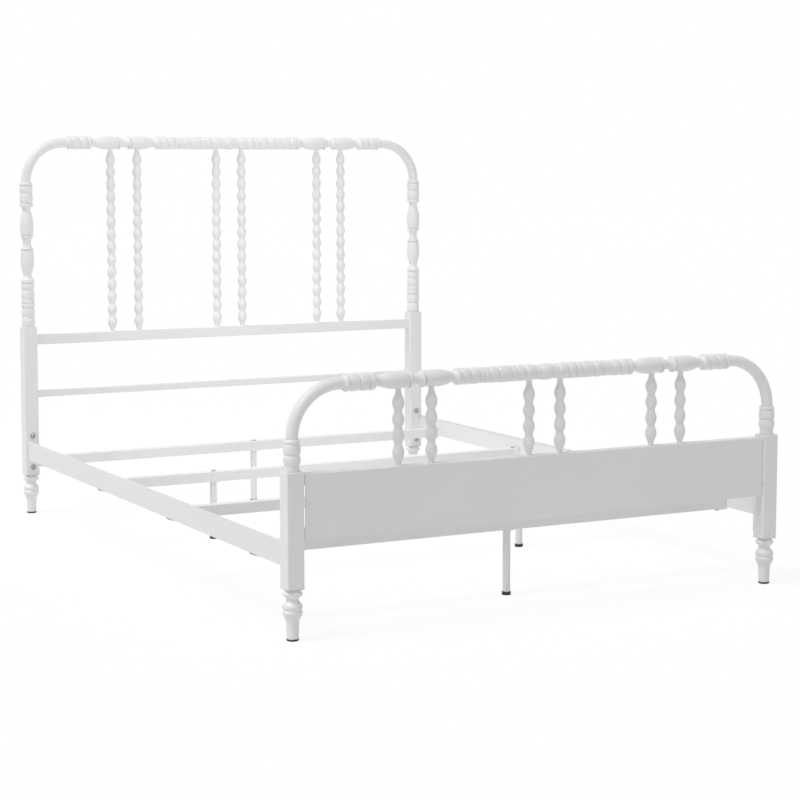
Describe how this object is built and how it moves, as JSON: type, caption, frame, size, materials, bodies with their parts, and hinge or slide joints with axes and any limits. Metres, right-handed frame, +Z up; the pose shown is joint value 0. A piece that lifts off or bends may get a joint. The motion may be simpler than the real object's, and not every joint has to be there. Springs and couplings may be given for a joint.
{
  "type": "spindle bed",
  "caption": "Metal bed frame with arched spindle headboard and footboard, turned details, flat foot panel, bolted side rails, cross slats and support legs.",
  "frame": {"origin": "On the floor, midway between the four posts", "axes": "+X to the bed's right seen from the foot, +Y from foot to head, +Z up"},
  "size_m": [1.428, 2.0078, 1.193],
  "materials": {
    "white_paint": "satin",
    "black_plastic": "matte",
    "dark_steel": "satin",
    "zinc_steel": "satin"
  },
  "bodies": {
    "root": {"end_plate_left_foot": "white_paint", "end_plate_left_head": "white_paint", "end_plate_right_foot": "white_paint", "end_plate_right_head": "white_paint", "foot_crossbar_bottom": "white_paint", "foot_crossbar_top": "white_paint", "foot_hoop_tube": "white_paint", "foot_panel": "white_paint", "foot_post_left": "white_paint", "foot_post_right": "white_paint", "foot_side_turnings": "white_paint", "foot_spindles": "white_paint", "foot_top_turning": "white_paint", "head_hoop_tube": "white_paint", "head_insert_left": "white_paint", "head_insert_right": "white_paint", "head_leg_left": "white_paint", "head_leg_right": "white_paint", "head_lower_rail": "white_paint", "head_side_turnings": "white_paint", "head_socket_left": "white_paint", "head_socket_right": "white_paint", "head_spindles": "white_paint", "head_top_turning": "white_paint", "head_upper_rail": "white_paint", "insert_screws": "dark_steel", "leg_bolts": "dark_steel", "leg_glides": "black_plastic", "post_glides": "black_plastic", "rail_bolts": "dark_steel", "side_rail_left_foot": "white_paint", "side_rail_left_head": "white_paint", "side_rail_right_foot": "white_paint", "side_rail_right_head": "white_paint", "slat_1": "white_paint", "slat_2": "white_paint", "slat_3": "white_paint", "slat_4": "white_paint", "slat_bolts": "dark_steel", "slat_brackets": "white_paint", "slat_nuts": "zinc_steel", "splice_bolts": "dark_steel", "splice_plate_left": "white_paint", "splice_plate_right": "white_paint", "support_leg_1": "white_paint", "support_leg_2": "white_paint", "support_leg_3": "white_paint", "support_leg_4": "white_paint", "turned_feet": "white_paint"}
  },
  "joints": []
}
